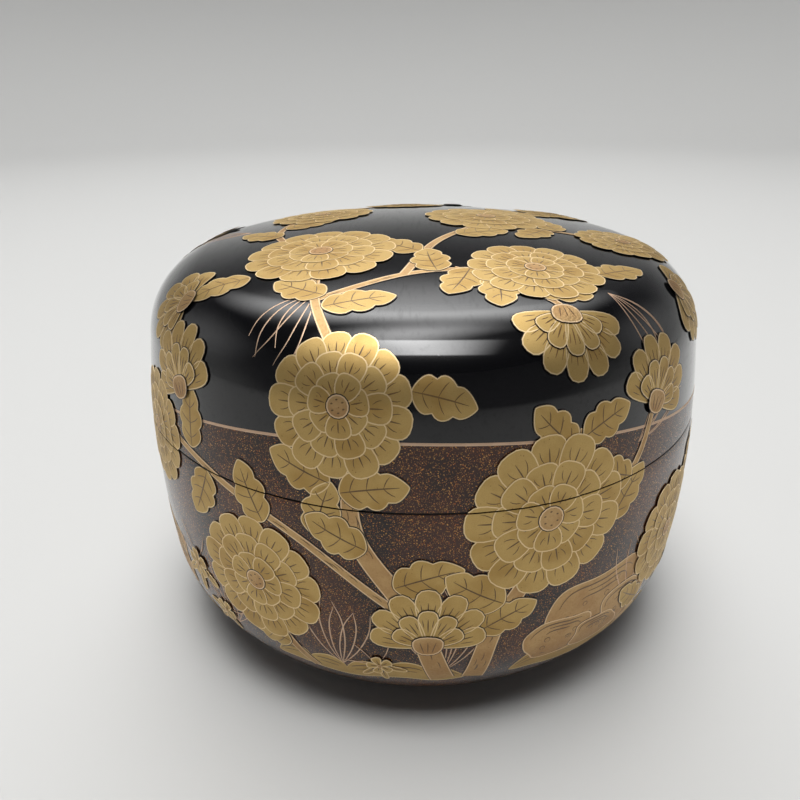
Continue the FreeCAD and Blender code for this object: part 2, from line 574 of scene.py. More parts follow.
@dataclass(frozen=True)
class Outline:
    """Outside of the closed caddy: four arcs that run on into each other, from the crown down.

    The lacquer stays under them by the gold's room, so that the raised gold ends inside them.
    """

    height: float = 59.0
    outer_radius: float = 41.0
    widest_height: float = 28.0
    crown_radius: float = 170.0
    shoulder_radius: float = 10.3
    side_radius: float = 126.0
    foot_curve_radius: float = 17.0
    lid_depth: float = 23.0
    gold_room: float = 0.2

    @property
    def seam_height(self) -> float:
        """Height of the seam between body and lid."""
        return self.height - self.lid_depth

    @cached_property
    def arcs(self) -> tuple[Arc, ...]:
        """Crown, shoulder, side and foot curve."""
        crown = Vector((0.0, self.height - self.crown_radius))
        side = Vector((self.outer_radius - self.side_radius, self.widest_height))
        shoulder = meeting_centre(crown, self.crown_radius - self.shoulder_radius,
                                  side, self.side_radius - self.shoulder_radius)
        drop = self.widest_height - self.foot_curve_radius
        reach = math.sqrt((self.side_radius - self.foot_curve_radius) ** 2 - drop ** 2)
        foot = Vector((side.x + reach, self.foot_curve_radius))
        centres = (crown, shoulder, side, foot)
        radii = (self.crown_radius, self.shoulder_radius, self.side_radius, self.foot_curve_radius)
        turns = (0.0, bearing(crown, shoulder), bearing(side, shoulder), bearing(side, foot), math.pi)
        return tuple(Arc(*each) for each in zip(centres, radii, turns, turns[1:]))

    def side_along(self, level: float) -> float:
        """Way from the crown's middle over the outline to a height on the side."""
        crown, shoulder, side, _ = self.arcs
        return crown.length + shoulder.length + side.radius * (side.angle_at(level) - side.start)

    @cached_property
    def seam_along(self) -> float:
        """Way from the crown's middle over the outline to the seam."""
        return self.side_along(self.seam_height)

    def at(self, along: float, lift: float) -> Vector:
        """Point of the outline, lifted off the lacquer.

        Args:
            along: way from the crown's middle over the outline.
            lift: height above the lacquer.

        Returns:
            Its radius and height.
        """
        for arc in self.arcs:
            if along <= arc.length:
                break
            along -= arc.length
        return arc.spot(min(arc.end, arc.start + along / arc.radius), lift - self.gold_room)

    def skin(self, inset: float, top: float | None = None, bottom: float | None = None) -> list[Vector]:
        """Follow the outline, moved inwards, from one height down to another.

        Args:
            inset: how far it is moved inwards.
            top: the upper height, or None for the crown's middle.
            bottom: the lower height, or None for the foot.

        Returns:
            Its points.
        """
        points: list[Vector] = []
        for arc in self.arcs:
            start = arc.start if top is None else max(arc.start, arc.angle_at(top, inset))
            end = arc.end if bottom is None else min(arc.end, arc.angle_at(bottom, inset))
            if start < end:
                points += Arc(arc.centre, arc.radius, start, end).points(inset)[1 if points else 0:]
        return points

    def side_at(self, level: float, inset: float) -> float:
        """Radius of the side, moved inwards, at a height."""
        return self.skin(inset, top=level)[0].x


# Pieces

class Body(Enum):
    """What a piece rides on."""

    BODY = "body"
    LID = "lid"


def link(name: str, data: bpy.types.ID) -> bpy.types.Object:
    """Put a new object into the scene.

    Args:
        name: its name.
        data: its mesh, light or camera.

    Returns:
        The object.
    """
    item = bpy.data.objects.new(name, data)
    bpy.context.scene.collection.objects.link(item)
    return item


def make_object(mesh: bmesh.types.BMesh, name: str, material: bpy.types.Material) -> bpy.types.Object:
    """Make a smooth object of a mesh drawn in millimetres.

    Args:
        mesh: the shape, which is freed.
        name: the object's name.
        material: its finish.

    Returns:
        The object, in metres.
    """
    data = bpy.data.meshes.new(name)
    mesh.to_mesh(data)
    mesh.free()
    data.transform(Matrix.Scale(METRES_PER_MM, 4))
    data.shade_smooth()
    data.materials.append(material)
    return link(name, data)


def finish_piece(mesh: bmesh.types.BMesh, name: str, body: Body, slot: str, material: bpy.types.Material,
                 crease: float, *replaced: str) -> None:
    """Make a piece of a closed mesh, its faces outwards, and let it ride on a body.

    Args:
        mesh: the finished shape, in millimetres.
        name: the piece's name.
        body: the body that it rides on.
        slot: the record's material slot, not used.
        material: its finish.
        crease: angle in degrees above which an edge is sharp.
        replaced: nodes that it stands for.
    """
    if mesh.calc_volume(signed=True) < 0:
        bmesh.ops.reverse_faces(mesh, faces=mesh.faces)
    piece = make_object(mesh, name, material)
    piece.data.set_sharp_from_angle(angle=math.radians(crease))
    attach(piece, body.value)
    if replaced:
        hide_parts(*replaced)
    log.info("%s: %d faces, rides on %s", name, len(piece.data.polygons), body.value)


def turned(section: Sequence[Vector], steps: int) -> bmesh.types.BMesh:
    """Spin a section of radius and height round the axis.

    Args:
        section: the section's points in order. One that starts clear of the axis is closed to a ring.
        steps: number of steps in the full turn.

    Returns:
        The turned shape.
    """
    mesh = bmesh.new()
    verts = [mesh.verts.new((point.x, 0.0, point.y)) for point in section]
    path = verts + verts[:1] if section[0].x > 0 else verts
    edges = [mesh.edges.new(pair) for pair in zip(path, path[1:])]
    bmesh.ops.spin(mesh, geom=verts + edges, cent=(0, 0, 0), axis=(0, 0, 1), angle=FULL_TURN,
                   steps=steps, use_merge=True)
    bmesh.ops.remove_doubles(mesh, verts=mesh.verts, dist=MERGE_DISTANCE)
    bmesh.ops.recalc_face_normals(mesh, faces=mesh.faces)
    return mesh


@dataclass(frozen=True)
class LacquerCoats:
    """Coats of lacquer on the body and the lid, each a thin turned shell."""

    outline: Outline
    outer_coat: float = 0.3
    inner_coat: float = 0.2
    seam_edge_radius: float = 0.18
    foot_ring_width: float = 3.0
    foot_dish_depth: float = 0.5
    collar_height: float = 6.0
    collar_clearance: float = 0.2
    collar_headroom: float = 0.6
    lid_top_wall: float = 2.4
    lid_side_wall: float = 1.15
    collar_wall: float = 1.35
    outside_steps: int = 288
    inside_steps: int = 192
    crease: float = 30.0

    @property
    def bore_top(self) -> float:
        """Height at which the lid's bore ends."""
        return self.outline.seam_height + self.collar_height + self.collar_headroom

    @cached_property
    def bore_radius(self) -> float:
        """Radius of the lid's bore."""
        return self.outline.side_at(self.bore_top, 0.0) - self.lid_side_wall

    @property
    def collar_outer(self) -> float:
        """Outer radius of the body's collar."""
        return self.bore_radius - self.collar_clearance

    @property
    def collar_inner(self) -> float:
        """Inner radius of the body's collar."""
        return self.collar_outer - self.collar_wall

    @property
    def body_wall(self) -> float:
        """Thickness of the bowl's wall over all its coats."""
        side = self.outline.arcs[2]
        return side.radius - (Vector((self.collar_inner, self.outline.seam_height)) - side.centre).length

    def seam_edge(self, side: int) -> list[Vector]:
        """Round the edge at the seam.

        Args:
            side: -1 for the body's edge, 1 for the lid's.

        Returns:
            Its points, from the seam's plane out to the side.
        """
        seam, radius = self.outline.seam_height, self.seam_edge_radius
        centre = Vector((self.outline.side_at(seam, self.outline.gold_room) - radius, seam + side * radius))
        return Arc(centre, radius, QUARTER_TURN + side * QUARTER_TURN, QUARTER_TURN).points(steps=4)[:-1]

    def underside(self, inset: float, steps: int = 10) -> list[Vector]:
        """Follow the dish and the standing ring of the foot.

        Args:
            inset: how far they are moved up.
            steps: number of steps across the dish.

        Returns:
            Their points, from the axis outwards.
        """
        foot = self.outline.arcs[3].centre.x
        inner = foot - self.foot_ring_width
        reach = [inner * step / steps for step in range(steps + 1)]
        dish = [Vector((r, inset + self.foot_dish_depth * (1 - (r / inner) ** 2))) for r in reach]
        return dish + [Vector((foot, inset))]

    def collar_walls(self, outer: float, inner: float) -> list[Vector]:
        """Follow the collar, or the wood under its coat, over its rounded top.

        Args:
            outer: its outer radius.
            inner: its inner radius.

        Returns:
            Its points, from the top of its outer side to its inner side's foot.
        """
        half = (outer - inner) / 2
        top = self.outline.seam_height + self.collar_height - (self.collar_outer - outer)
        over = Arc(Vector((outer - half, top - half)), half, QUARTER_TURN, -QUARTER_TURN).points(steps=8)
        return over + [Vector((inner, self.outline.seam_height))]

    def lid_hollow(self, offset: float) -> list[Vector]:
        """Follow the lid's inside, moved into its wall.

        Args:
            offset: how far it is moved.

        Returns:
            Its points, from the ceiling's middle to the bore's top.
        """
        crown = self.outline.arcs[0]
        ceiling = crown.radius - self.lid_top_wall
        rise = self.bore_top - crown.centre.y
        bore = self.bore_radius
        corner = (ceiling ** 2 - bore ** 2 - rise ** 2) / (2 * (ceiling - bore))
        centre = Vector((bore - corner, self.bore_top))
        end = bearing(crown.centre, centre)
        top = Arc(crown.centre, ceiling, 0.0, end).points(-offset)
        return top + Arc(centre, corner, end, QUARTER_TURN).points(-offset)[1:]

    def body_outside(self) -> list[Vector]:
        """Draw the section of the body's outer coat.

        Returns:
            Its points.
        """
        line, seam = self.outline, self.outline.seam_height
        outside = self.seam_edge(-1) + line.skin(line.gold_room, top=seam - self.seam_edge_radius)
        return outside + line.skin(self.outer_coat, top=seam)[::-1]

    def foot(self) -> list[Vector]:
        """Section of the coat on the dish and the standing ring."""
        return self.underside(0.0) + self.underside(self.outer_coat)[::-1]

    def bowl(self) -> list[Vector]:
        """Draw the section of the coat in the bowl.

        Returns:
            Its points.
        """
        seam, wall, backing = self.outline.seam_height, self.body_wall, self.body_wall - self.inner_coat
        inside = [Vector((0.0, wall))] + self.outline.skin(wall, top=seam)[::-1]
        return inside + self.outline.skin(backing, top=seam) + [Vector((0.0, backing))]

    def collar(self) -> list[Vector]:
        """Draw the section of the coat over the ledge and the collar.

        Returns:
            Its points.
        """
        line, seam, coat = self.outline, self.outline.seam_height, self.inner_coat
        wood_outer = self.collar_outer - coat
        wood_inner = line.side_at(seam, self.body_wall - coat)
        ledge = [Vector((line.side_at(seam, self.outer_coat), seam)), Vector((self.collar_outer, seam))]
        outside = self.collar_walls(self.collar_outer, self.collar_inner)
        inside = self.collar_walls(wood_outer, wood_inner)[::-1]
        under = [Vector((wood_outer, seam - coat)),
                 Vector((line.side_at(seam - coat, self.outer_coat), seam - coat))]
        return ledge + outside + inside + under

    def lid_outside(self) -> list[Vector]:
        """Draw the section of the lid's outer coat.

        Returns:
            Its points.
        """
        line, seam = self.outline, self.outline.seam_height
        outside = line.skin(line.gold_room, bottom=seam + self.seam_edge_radius) + self.seam_edge(1)[::-1]
        return outside + line.skin(self.outer_coat, bottom=seam)[::-1]

    def lid_inside(self) -> list[Vector]:
        """Draw the section of the coat on the lid's ceiling, bore and lip.

        Returns:
            Its points.
        """
        line, seam, coat = self.outline, self.outline.seam_height, self.inner_coat
        lip = [Vector((self.bore_radius, seam)), Vector((line.side_at(seam, self.outer_coat), seam)),
               Vector((line.side_at(seam + coat, self.outer_coat), seam + coat)),
               Vector((self.bore_radius + coat, seam + coat))]
        return self.lid_hollow(0.0) + lip + self.lid_hollow(coat)[::-1]

    def build(self, sprinkled: bpy.types.Material, inside: bpy.types.Material,
              lid: bpy.types.Material) -> None:
        """Turn every coat, to stand for the node of its name.

        Args:
            sprinkled: finish of the body's side and foot.
            inside: finish of the bowl, the collar and the lid's inside.
            lid: finish of the lid's outside.
        """
        fine, coarse = self.outside_steps, self.inside_steps
        for name, section, body, slot, material, steps in (
            ("body_outer_lacquer", self.body_outside(), Body.BODY, "sprinkled_lacquer", sprinkled, fine),
            ("base_lacquer", self.foot(), Body.BODY, "base_lacquer", sprinkled, coarse),
            ("body_inner_lacquer", self.bowl(), Body.BODY, "inner_lacquer", inside, coarse),
            ("collar_lacquer", self.collar(), Body.BODY, "inner_lacquer", inside, coarse),
            ("lid_outer_lacquer", self.lid_outside(), Body.LID, "lid_lacquer", lid, fine),
            ("lid_inner_lacquer", self.lid_inside(), Body.LID, "inner_lacquer", inside, coarse),
        ):
            shape = turned(section, steps)
            finish_piece(shape, f"{name}_turned", body, slot, material, self.crease, name)


# Gold design: flat shapes drawn in a chart, laid on the lacquer in low relief

RIM_LAYER = "rim"
LEVEL_LAYER = "level"
TONE_LAYER = "tone"
LAYERS = (RIM_LAYER, LEVEL_LAYER, TONE_LAYER)
LEVEL_STEP = 0.09
ORDER_STEP = 0.014


class Chart(Enum):
    """How flat drawings are laid on the caddy."""

    TOP = "top"
    SIDE = "side"


class Tone(Enum):
    """What a flat shape is made of. The value starts its piece's name."""

    BRIGHT = "bright_gold"
    RED = "red_gold"
    HAIR = "gold_hairlines"
    GAP = "dark_gaps"
    STROKE = "engraved_strokes"


@dataclass(frozen=True)
class Relief:
    """Heights of a tone above the foot of its level, and whether its sheet is cut to follow the curves."""

    foot: float
    raised: float = 0.0
    sunk: float = 0.03
    cut: bool = True


RELIEFS = {
    Tone.GAP: Relief(0.006),
    Tone.BRIGHT: Relief(0.026, raised=-0.005),
    Tone.RED: Relief(0.026, raised=-0.005),
    Tone.HAIR: Relief(0.012, raised=0.012, cut=False),
    Tone.STROKE: Relief(0.030, sunk=0.02, cut=False),
}


@dataclass(frozen=True)
class Spot:
    """Place of a motif in a chart: x to the right, y up, turned anticlockwise by degrees."""

    chart: Chart
    x: float
    y: float
    turn: float = 0.0
    size: float = 1.0
    level: float = 0.0

    def put(self, across: float, up: float) -> Vector:
        """Find a point of the motif in the chart.

        Args:
            across: its place to the right, in the motif's own sizes.
            up: its place up.

        Returns:
            The chart point.
        """
        turn = math.radians(self.turn)
        point = Vector((across * math.cos(turn) - up * math.sin(turn),
                        across * math.sin(turn) + up * math.cos(turn))) * self.size
        return Vector((self.x, self.y)) + point

    def moved(self, across: float = 0.0, up: float = 0.0, turn: float = 0.0, size: float = 1.0,
              rise: float = 0.0) -> "Spot":
        """Spot inside this motif, some levels above it."""
        point = self.put(across, up)
        return Spot(self.chart, point.x, point.y, self.turn + turn, self.size * size, self.level + rise)

    def polar(self, reach: float, heading: float, **more: float) -> "Spot":
        """Spot at a reach and a heading in degrees from straight up."""
        angle = math.radians(heading)
        return self.moved(-reach * math.sin(angle), reach * math.cos(angle), **more)


class Track:
    """Smooth line through a few chart points."""

    side_step: float = 0.002

    def __init__(self, points: Sequence[Point]) -> None:
        """Keep the points, with one more beyond each end.

        Args:
            points: the points that the line passes.
        """
        spots = [Vector(point) for point in points]
        self.spots = [spots[0] * 2 - spots[1], *spots, spots[-1] * 2 - spots[-2]]
        self.length = sum((b - a).length for a, b in zip(spots, spots[1:]))

    def at(self, share: float) -> Vector:
        """Point at a share of the way, on a cubic between its neighbours.

        Args:
            share: from 0 at the start to 1 at the end.

        Returns:
            The chart point.
        """
        spans = len(self.spots) - 3
        span = min(spans - 1, int(share * spans))
        t = share * spans - span
        a, b, c, d = self.spots[span:span + 4]
        return 0.5 * (b * 2 + (c - a) * t + (a * 2 - b * 5 + c * 4 - d) * t ** 2
                      + (b * 3 - a - c * 3 + d) * t ** 3)

    def aside(self, share: float) -> Vector:
        """Unit vector to the left of the way."""
        ahead, behind = self.at(min(1.0, share + self.side_step)), self.at(max(0.0, share - self.side_step))
        way = (ahead - behind).normalized()
        return Vector((-way.y, way.x))


def powered(value: float, power: float) -> float:
    """Power of a value, with the value's sign."""
    return math.copysign(abs(value) ** power, value)


@dataclass(frozen=True)
class PetalForm:
    """Edge of a petal, from its foot at 0, 0 up to a round tip."""

    length: float
    width: float
    waist: float

    def __call__(self, turn: float) -> Point:
        """Find a point of the edge.

        Args:
            turn: its turn from the foot.

        Returns:
            Its place across and up.
        """
        reach = (1 - powered(math.cos(turn), 0.86)) / 2
        half = self.width / 2 * 1.08 * (self.waist + (1 - self.waist) * reach ** 0.9)
        return half * powered(math.sin(turn), 0.8), self.length * reach


@dataclass(frozen=True)
class LeafForm:
    """Edge of a lobed leaf, from its stalk at 0, 0 up to its tip, bent to one side."""

    length: float
    width: float
    bend: float
    lobes: float = 3.0

    def __call__(self, turn: float) -> Point:
        """Find a point of the edge.

        Args:
            turn: its turn from the stalk.

        Returns:
            Its place across and up.
        """
        reach = (1 - math.cos(turn)) / 2
        half = self.width / 2 * abs(math.sin(math.pi * reach ** 0.8)) ** 0.6
        half *= 0.66 + 0.34 * abs(math.sin(math.pi * self.lobes * reach)) ** 0.5
        return math.copysign(half, math.sin(turn)) + self.bend * reach ** 2, self.length * reach


@dataclass(frozen=True)
class StoneForm:
    """Edge of a low rounded stone with a flat foot."""

    width: float
    height: float
    phase: float

    def __call__(self, turn: float) -> Point:
        """Find a point of the edge.

        Args:
            turn: its turn from the foot.

        Returns:
            Its place across and up.
        """
        lump = 1 + 0.08 * math.sin(3 * turn + self.phase) + 0.05 * math.sin(5 * turn + 2 * self.phase)
        up = powered(-math.cos(turn), 0.75) * (lump if math.cos(turn) < 0 else 0.8)
        return self.width / 2 * powered(math.sin(turn), 0.75) * lump, self.height / 2 * up


@dataclass(frozen=True)
class DiscForm:
    """Edge of a disc, plain or scalloped."""

    radius: float
    scallops: int = 0
    depth: float = 0.0

    def __call__(self, turn: float) -> Point:
        """Point of the edge at a turn from its foot."""
        reach = self.radius * (1 - self.depth * (1 - abs(math.cos(self.scallops * (turn - math.pi) / 2))))
        return reach * math.sin(turn), -reach * math.cos(turn)


def even(width: float) -> Width:
    """The same width all the way."""
    return lambda share: width


def tapered(start: float, end: float) -> Width:
    """Width that changes evenly from start to end."""
    return lambda share: start + (end - start) * share


def pointed(width: float) -> Width:
    """Width that swells from a fine start and ends in a point."""
    return lambda share: width * (0.15 + 0.85 * math.sin(math.pi * min(1.0, share * 0.92 + 0.06)) ** 0.7)


class GoldDesign:
    """Flat shapes of the whole design, by chart and tone, and what lays them on the lacquer."""

    seam_gap: float = 0.09
    wide_step: float = 1.3
    fine_step: float = 0.5
    chart_start: float = -131.0
    crown_half: float = 21.0
    side_top: float = 11.0
    side_foot: float = -19.0
    crease: float = 50.0

    def __init__(self, outline: Outline, seed: int = 11) -> None:
        """Start with empty sheets.

        Args:
            outline: the outline that the design lies on.
            seed: what its small irregularities are drawn from.
        """
        self.outline = outline
        self.dice = random.Random(seed)
        self.sheets: dict[tuple[Chart, Tone], bmesh.types.BMesh] = {}
        self.carrier = bpy.data.meshes.new("carrier")
        self.order = 0.0

    def draw(self, motifs: Sequence["Motif"]) -> None:
        """Draw motifs on the levels of their kinds, with neighbours a hair apart, so that they can overlap.

        Args:
            motifs: the motifs, in the order in which they are laid.
        """
        for index, motif in enumerate(motifs):
            self.order = motif.rank + index % motif.orders * ORDER_STEP / LEVEL_STEP
            motif.draw(self)
            log.info("%s drawn", type(motif).__name__)

    @staticmethod
    def blank() -> bmesh.types.BMesh:
        """Make an empty flat mesh with the layers of the design.

        Returns:
            The mesh.
        """
        mesh = bmesh.new()
        for name in LAYERS:
            mesh.verts.layers.float.new(name)
        return mesh

    def collect(self, part: bmesh.types.BMesh, chart: Chart, tone: Tone) -> None:
        """Cut a flat part as finely as its tone asks, and add it to the sheet of its chart and tone.

        Args:
            part: the flat part, which is freed.
            chart: the chart that it is drawn in.
            tone: what it is made of.
        """
        if RELIEFS[tone].cut:
            self.cut(part, chart)
        part.to_mesh(self.carrier)
        part.free()
        if (chart, tone) not in self.sheets:
            self.sheets[chart, tone] = self.blank()
        self.sheets[chart, tone].from_mesh(self.carrier)

    def shape(self, spot: Spot, form: Form, tone: Tone, sides: int, rim: float = 0.0,
              grown: float = 0.0) -> None:
        """Draw a filled shape.

        Args:
            spot: where it stands.
            form: its edge, in the spot's own sizes.
            tone: what it is made of.
            sides: number of points on its edge.
            rim: width of its raised edge, or 0 for none.
            grown: how far its edge is moved outwards.
        """
        mesh = self.blank()
        rims, levels, tones = (mesh.verts.layers.float[name] for name in LAYERS)
        verts = bmesh.ops.create_circle(mesh, cap_ends=True, segments=sides, radius=1.0)["verts"]
        face = verts[0].link_faces[0]
        places = [form(math.atan2(vert.co.x, -vert.co.y)) for vert in verts]
        edge = [spot.put(*place) for place in places]
        low, high = min(place[1] for place in places), max(place[1] for place in places)
        shade = self.dice.random() * 0.4
        for index, vert in enumerate(verts):
            way = edge[(index + 1) % sides] - edge[index - 1]
            vert.co = (edge[index] + Vector((way.y, -way.x)).normalized() * grown).to_3d()
            vert[rims] = 1.0 if rim else 0.0
            vert[levels] = spot.level + self.order
            vert[tones] = shade + 0.6 * (places[index][1] - low) / (high - low)
        if rim:
            bmesh.ops.inset_individual(mesh, faces=[face], thickness=rim, use_even_offset=True)
            for vert in face.verts:
                vert[rims] = 0.0
        self.collect(mesh, spot.chart, tone)

    def backed(self, spot: Spot, form: Form, tone: Tone, sides: int, rim: float, gap: float = 0.1) -> None:
        """Draw a filled shape over a dark gap that shows round its edge."""
        self.shape(spot, form, Tone.GAP, sides, grown=gap)
        self.shape(spot, form, tone, sides, rim)

    def strip(self, chart: Chart, track: Track, left: Width, right: Width, tone: Tone, level: float = 0.0,
              step: float = 0.9, edge: float = 0.0) -> None:
        """Draw a band along a track, with its own width on each side.

        Args:
            chart: the chart that it is drawn in.
            track: its middle line.
            left: width to the left by share of the way.
            right: width to the right.
            tone: what it is made of.
            level: how many levels it lies above the lacquer.
            step: length of one segment.
            edge: width of its raised edges, or 0 where the edges slope up to the middle.
        """
        mesh = self.blank()
        rims, levels, tones = (mesh.verts.layers.float[name] for name in LAYERS)
        count = max(3, math.ceil(track.length / step))
        rows = 3 if edge else 2
        verts = bmesh.ops.create_grid(mesh, x_segments=count, y_segments=rows, size=1.0)["verts"]
        shade = self.dice.random()
        for vert in verts:
            share, side = (vert.co.x + 1) / 2, vert.co.y
            width = left(share) if side > 0 else right(share)
            outermost = abs(side) > 0.9
            if edge and not outermost:
                side = math.copysign(1 - edge / max(width, edge * 1.1), side)
            vert.co = (track.at(share) + track.aside(share) * side * width).to_3d()
            vert[rims] = float(outermost)
            vert[levels] = level + self.order
            vert[tones] = shade
        self.collect(mesh, chart, tone)

    def line(self, chart: Chart, points: Sequence[Point], width: Width, tone: Tone, level: float = 0.0,
             step: float = 0.7, edge: float = 0.0) -> None:
        """Draw a line of one width on both sides."""
        half: Width = lambda share: width(share) / 2
        self.strip(chart, Track(points), half, half, tone, level, step, edge)

    def stroke(self, spot: Spot, points: Sequence[Point], width: float, tone: Tone = Tone.STROKE,
               step: float = 0.7) -> None:
        """Draw a fine line in a motif's own sizes."""
        placed = [tuple(spot.put(*point)) for point in points]
        self.line(spot.chart, placed, pointed(width), tone, spot.level, step)

    def lay(self, chart: Chart, x: float, y: float, lift: float) -> Vector:
        """Lay a chart point on the caddy.

        Args:
            chart: the chart that it is drawn in.
            x: its place to the right.
            y: its place up.
            lift: height above the lacquer.

        Returns:
            The point in space.
        """
        if chart is Chart.TOP:
            along, turn = math.hypot(x, y), math.atan2(x, -y)
        else:
            along, turn = self.outline.seam_along - y, x / self.outline.outer_radius
        point = self.outline.at(along, lift)
        return Vector((point.x * math.sin(turn), -point.x * math.cos(turn), point.y))

    def step_at(self, chart: Chart, axis: int, place: float) -> float:
        """Distance from one cut to the next: fine where the caddy bends tightly."""
        wide = abs(place) < self.crown_half if chart is Chart.TOP else (
            axis == 0 or self.side_foot < place < self.side_top)
        return self.wide_step if wide else self.fine_step

    def cut(self, mesh: bmesh.types.BMesh, chart: Chart) -> None:
        """Cut a flat part so finely that it can follow the caddy's curves.

        Args:
            mesh: the flat part.
            chart: the chart that it is drawn in.
        """
        for axis in (0, 1):
            normal = Vector((1.0 - axis, float(axis), 0.0))
            reach = [vert.co[axis] for vert in mesh.verts]
            place = self.chart_start
            while place < max(reach):
                if place > min(reach):
                    everything = mesh.verts[:] + mesh.edges[:] + mesh.faces[:]
                    bmesh.ops.bisect_plane(mesh, geom=everything, dist=MERGE_DISTANCE,
                                           plane_co=normal * place, plane_no=normal)
                place += self.step_at(chart, axis, place)

    def raise_sheet(self, mesh: bmesh.types.BMesh, chart: Chart, tone: Tone) -> None:
        """Give a flat sheet its thickness and lay it on the caddy.

        Args:
            mesh: the sheet, which is changed.
            chart: the chart that it is drawn in.
            tone: what it is made of.
        """
        relief = RELIEFS[tone]
        mesh.normal_update()
        bmesh.ops.reverse_faces(mesh, faces=[face for face in mesh.faces if face.normal.z < 0])
        bmesh.ops.triangulate(mesh, faces=mesh.faces[:], quad_method="SHORT_EDGE", ngon_method="BEAUTY")
        bmesh.ops.solidify(mesh, geom=mesh.faces[:], thickness=1.0)
        rims, levels = mesh.verts.layers.float[RIM_LAYER], mesh.verts.layers.float[LEVEL_LAYER]
        for vert in mesh.verts:
            foot = vert[levels] * LEVEL_STEP + relief.foot
            above = relief.raised * (1 - vert[rims] * vert[rims]) if abs(vert.co.z) < 0.5 else -relief.sunk
            vert.co = self.lay(chart, vert.co.x, vert.co.y, foot + above)

    def half(self, mesh: bmesh.types.BMesh, side: int) -> bmesh.types.BMesh:
        """Part a side sheet at the seam.

        Args:
            mesh: the sheet, which is kept.
            side: 1 for what lies above the seam, -1 for what lies below it.

        Returns:
            The part of the sheet on that side.
        """
        part = mesh.copy()
        bmesh.ops.bisect_plane(part, geom=part.verts[:] + part.edges[:] + part.faces[:], dist=MERGE_DISTANCE,
                               plane_co=(0.0, side * self.seam_gap, 0.0), plane_no=(0.0, side, 0.0),
                               clear_inner=True)
        return part

    def finish(self, materials: dict[Tone, bpy.types.Material]) -> None:
        """Lay every sheet on the caddy as its own piece, parted at the seam.

        Args:
            materials: the finish of each tone.
        """
        slots = {Tone.GAP: "lid_lacquer", Tone.STROKE: "sprinkled_lacquer"}
        for (chart, tone), mesh in self.sheets.items():
            parts = [("lid_top", Body.LID, mesh)] if chart is Chart.TOP else [
                ("lid_side", Body.LID, self.half(mesh, 1)), ("body", Body.BODY, self.half(mesh, -1))]
            for place, body, part in parts:
                self.raise_sheet(part, chart, tone)
                finish_piece(part, f"{tone.value}_{place}", body, slots.get(tone, "gold"), materials[tone],
                             self.crease)
        bpy.data.meshes.remove(self.carrier)


# Motifs of the design

@dataclass(frozen=True)
class Motif:
    """Part of the design. Its rank is its kind's level, and its orders keep overlapping neighbours apart."""

    rank: ClassVar[float] = 0
    orders: ClassVar[int] = 2

    def draw(self, gold: GoldDesign) -> None:
        """Draw the motif."""
        raise NotImplementedError


@dataclass(frozen=True)
class Flower(Motif):
    """Flower with engraved lines on its petals: how far aside, where they start and end, and their width."""

    rank: ClassVar[float] = 1.5
    orders: ClassVar[int] = 3
    lines: ClassVar[Rows]
    waist: ClassVar[float]
    sides: ClassVar[int]
    rim: ClassVar[float] = 0.19
    spot: Spot
    radius: float


@dataclass(frozen=True)
class Chrysanthemum(Flower):
    """Full-face flower of three rings of broad petals round a dotted eye."""

    lines: ClassVar[Rows] = ((0.0, 0.30, 0.74, 0.17), (0.24, 0.45, 0.70, 0.11), (-0.24, 0.45, 0.70, 0.11))
    waist: ClassVar[float] = 0.62
    sides: ClassVar[int] = 22
    rings: ClassVar[Rows] = ((13, 0.40, 1.0), (10, 0.24, 0.71), (7, 0.08, 0.43))
    ring_turn: ClassVar[float] = 9.0
    ring_rise: ClassVar[float] = 0.65
    overlap: ClassVar[float] = 0.2
    ground_share: ClassVar[float] = 0.93
    ground_scallop: ClassVar[float] = 0.10
    eye_share: ClassVar[float] = 0.15
    dot_share: ClassVar[float] = 0.085
    dots: ClassVar[int] = 6

    def draw(self, gold: GoldDesign) -> None:
        """Draw the flower, its rings one above another.

        Args:
            gold: the design to draw in.
        """
        for index, (count, start, end) in enumerate(self.rings):
            spot = self.spot.moved(turn=self.ring_turn * index, rise=self.ring_rise * index)
            self.ring(gold, spot, count, self.radius * start, self.radius * end)
        eye = self.spot.moved(rise=self.ring_rise * len(self.rings))
        gold.backed(eye, DiscForm(self.radius * self.eye_share), Tone.RED, 16, 0.2, 0.12)
        for index in range(self.dots):
            dot = eye.polar(self.radius * self.dot_share, 360 / self.dots * index)
            gold.stroke(dot, [(-0.14, -0.02), (0, 0.03), (0.14, 0.0)], 0.2)

    def ring(self, gold: GoldDesign, spot: Spot, count: int, start: float, end: float) -> None:
        """Draw one ring of petals over a dark scalloped ground.

        Args:
            gold: the design to draw in.
            spot: the ring's middle.
            count: number of petals.
            start: distance from the middle to their feet.
            end: distance to their tips.
        """
        gold.shape(spot, DiscForm(end * self.ground_share, count, self.ground_scallop), Tone.GAP, count * 4)
        pitch = 360 / count
        for index in range(count):
            turn = pitch * index + gold.dice.uniform(-1.0, 1.0)
            reach = end * gold.dice.uniform(0.96, 1.0) - start
            width = math.radians(pitch) * end
            above = 2 if index == count - 1 and count % 2 else index % 2
            petal = spot.polar(start, turn, turn=turn, rise=above * self.overlap)
            gold.shape(petal, PetalForm(reach, width, self.waist), Tone.BRIGHT, self.sides, self.rim)
            for aside, foot, tip, line in self.lines:
                bend = aside * width
                gold.stroke(petal, [(bend * 0.5, reach * foot), (bend * 0.9, reach * (foot + tip) / 2),
                                    (bend, reach * tip)], line)


